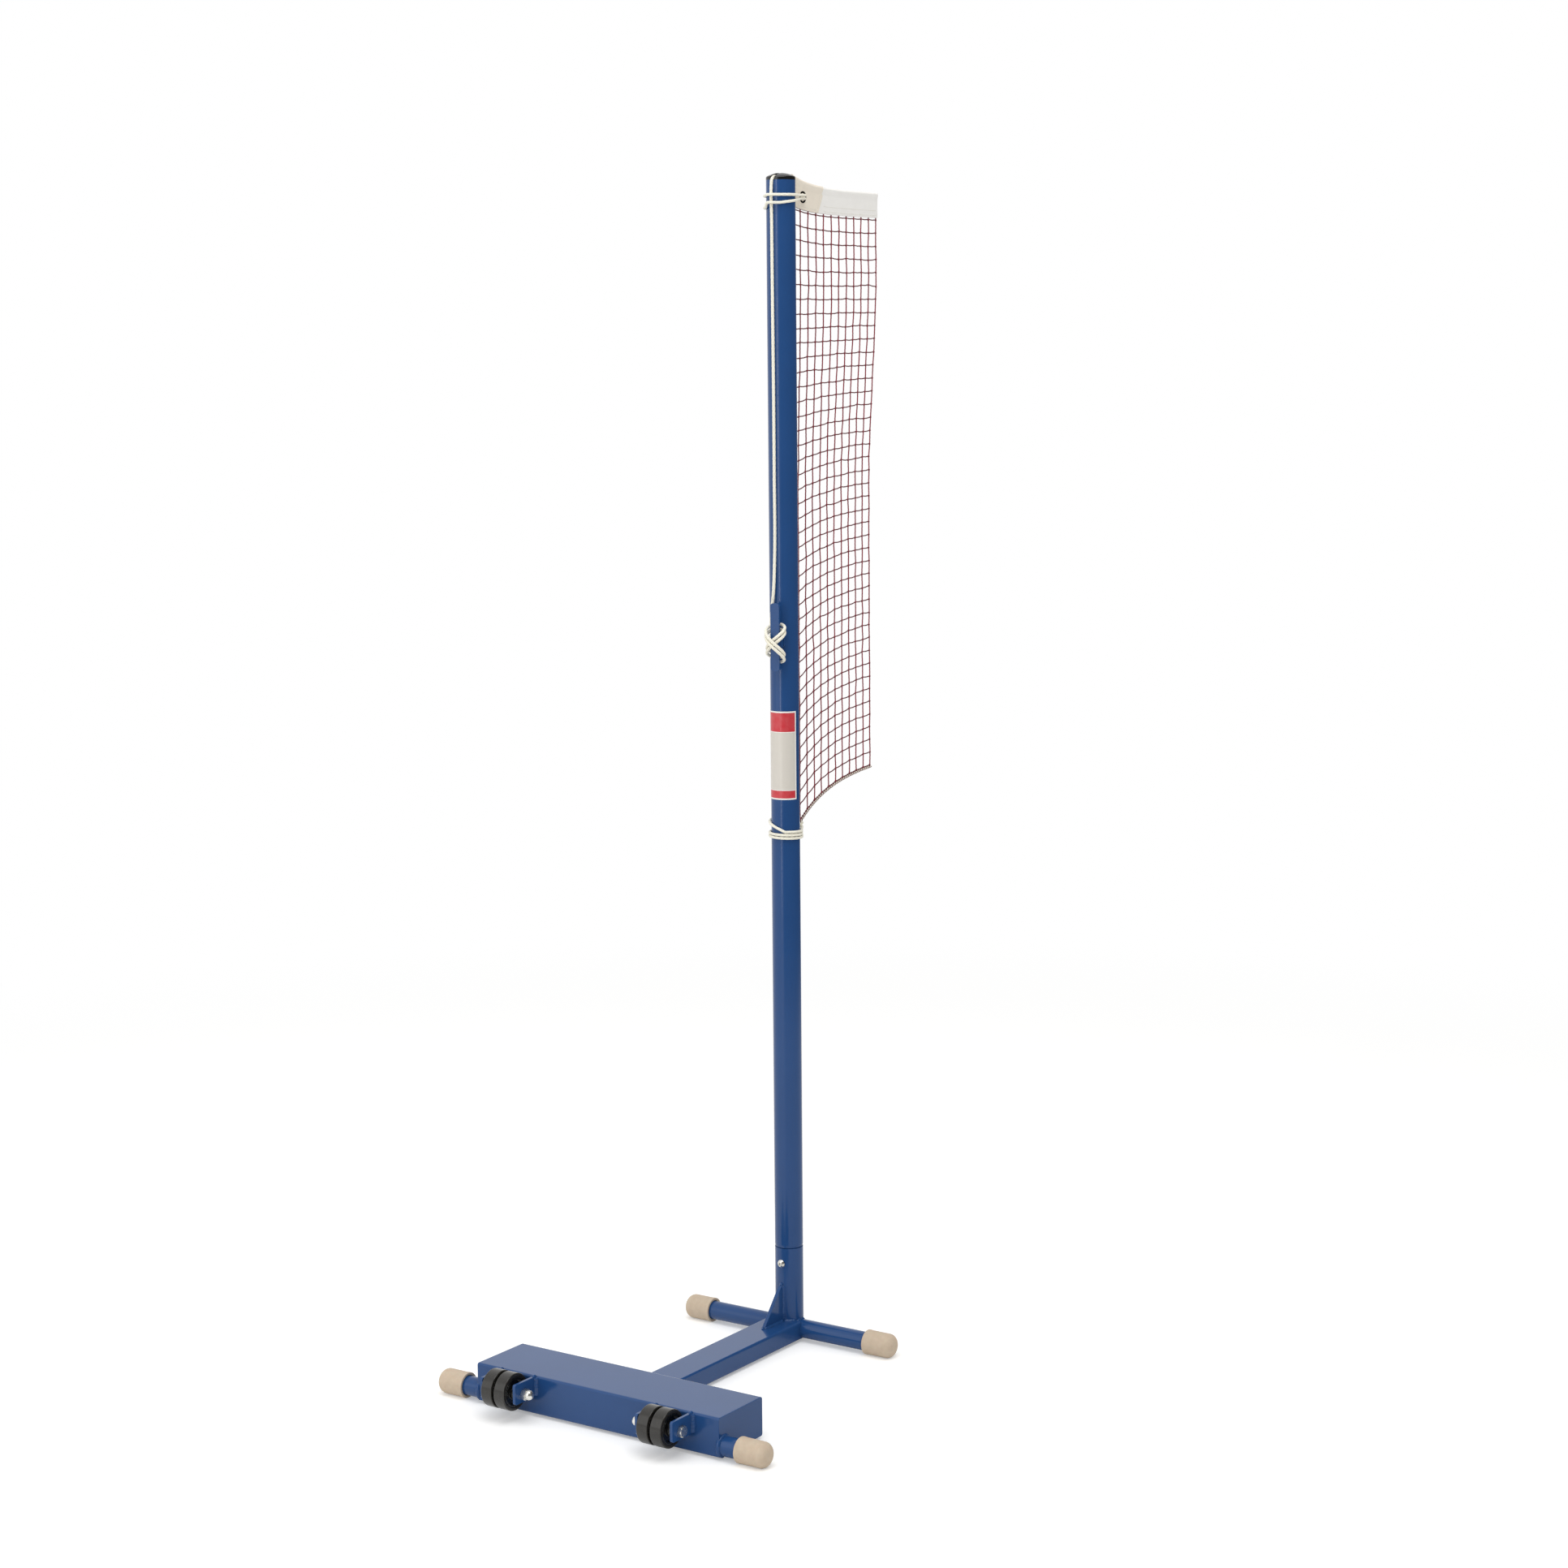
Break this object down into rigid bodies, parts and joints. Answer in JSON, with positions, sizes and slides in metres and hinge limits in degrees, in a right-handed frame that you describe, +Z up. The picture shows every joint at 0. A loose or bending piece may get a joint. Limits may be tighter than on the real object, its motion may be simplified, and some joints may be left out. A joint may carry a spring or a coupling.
{
  "type": "badminton net post with net end",
  "caption": "Free-standing wheel-away net post: weighted steel base on rubber feet, tilt wheels, lift-out tube post with rope cleat, and the tied end of a taped net.",
  "frame": {"origin": "point on the floor under the post's axis, which stands on the court's side line", "axes": "+Z up along the post, +X from the post along the net, +Y to the left of that, so the weight box lies at -X"},
  "size_m": [0.7103, 0.508, 1.5499],
  "materials": {
    "blue_paint": "glossy powder-coat blue on steel",
    "plain_steel": "plain drawn steel",
    "zinc": "bright zinc plate",
    "cream_rubber": "matt cream rubber",
    "black_plastic": "moulded black plastic",
    "grey_tyre": "dark grey rubber tread",
    "white_tape": "white woven tape",
    "canvas": "beige canvas",
    "dark_metal": "black japanned eyelet",
    "net_twine": "knotted maroon twine",
    "cream_cord": "braided cream cord"
  },
  "bodies": {
    "base": {"socket_tube": "blue_paint", "socket_gusset": "blue_paint", "base_beam": "blue_paint", "cross_tube_left": "blue_paint", "cross_tube_right": "blue_paint", "weight_box": "blue_paint", "box_end_left": "blue_paint", "box_end_right": "blue_paint", "ballast_block": "plain_steel", "foot_tube_left": "blue_paint", "foot_tube_right": "blue_paint", "foot_front_left": "cream_rubber", "foot_front_right": "cream_rubber", "foot_rear_left": "cream_rubber", "foot_rear_right": "cream_rubber", "lug_left_outer": "blue_paint", "lug_left_inner": "blue_paint", "lug_right_inner": "blue_paint", "lug_right_outer": "blue_paint", "axle_bolts": "zinc", "axle_nuts": "zinc", "axle_spacers": "zinc"},
    "post": {"post_tube": "blue_paint", "post_spigot": "plain_steel", "top_cap": "black_plastic", "rope_cleat": "blue_paint", "head_tape": "white_tape", "corner_patch": "canvas", "eyelet": "dark_metal", "net_mesh": "net_twine", "bottom_line": "cream_cord", "head_cord": "cream_cord", "upper_tie": "cream_cord", "lower_tie": "cream_cord"},
    "screw": {"lock_screw": "zinc"},
    "left_outer_wheel": {"wheel_left_outer": "black_plastic", "tyre_left_outer": "grey_tyre"},
    "left_inner_wheel": {"wheel_left_inner": "black_plastic", "tyre_left_inner": "grey_tyre"},
    "right_inner_wheel": {"wheel_right_inner": "black_plastic", "tyre_right_inner": "grey_tyre"},
    "right_outer_wheel": {"wheel_right_outer": "black_plastic", "tyre_right_outer": "grey_tyre"}
  },
  "joints": [
    {"name": "post_lift", "type": "slide", "parent": "base", "child": "post", "axis": [0, 0, 1], "range_m": [0, 0.09]},
    {"name": "lock_screw_travel", "type": "slide", "parent": "base", "child": "screw", "axis": [-1, 0, 0], "range_m": [0, 0.0015]},
    {"name": "left_outer_spin", "type": "hinge", "parent": "base", "child": "left_outer_wheel", "pos_m": [-0.457, 0.13395, 0.038], "axis": [0, 1, 0], "continuous": true},
    {"name": "left_inner_spin", "type": "hinge", "parent": "base", "child": "left_inner_wheel", "pos_m": [-0.457, 0.11365, 0.038], "axis": [0, 1, 0], "continuous": true},
    {"name": "right_inner_spin", "type": "hinge", "parent": "base", "child": "right_inner_wheel", "pos_m": [-0.457, -0.10805, 0.038], "axis": [0, 1, 0], "continuous": true},
    {"name": "right_outer_spin", "type": "hinge", "parent": "base", "child": "right_outer_wheel", "pos_m": [-0.457, -0.12835, 0.038], "axis": [0, 1, 0], "continuous": true}
  ]
}
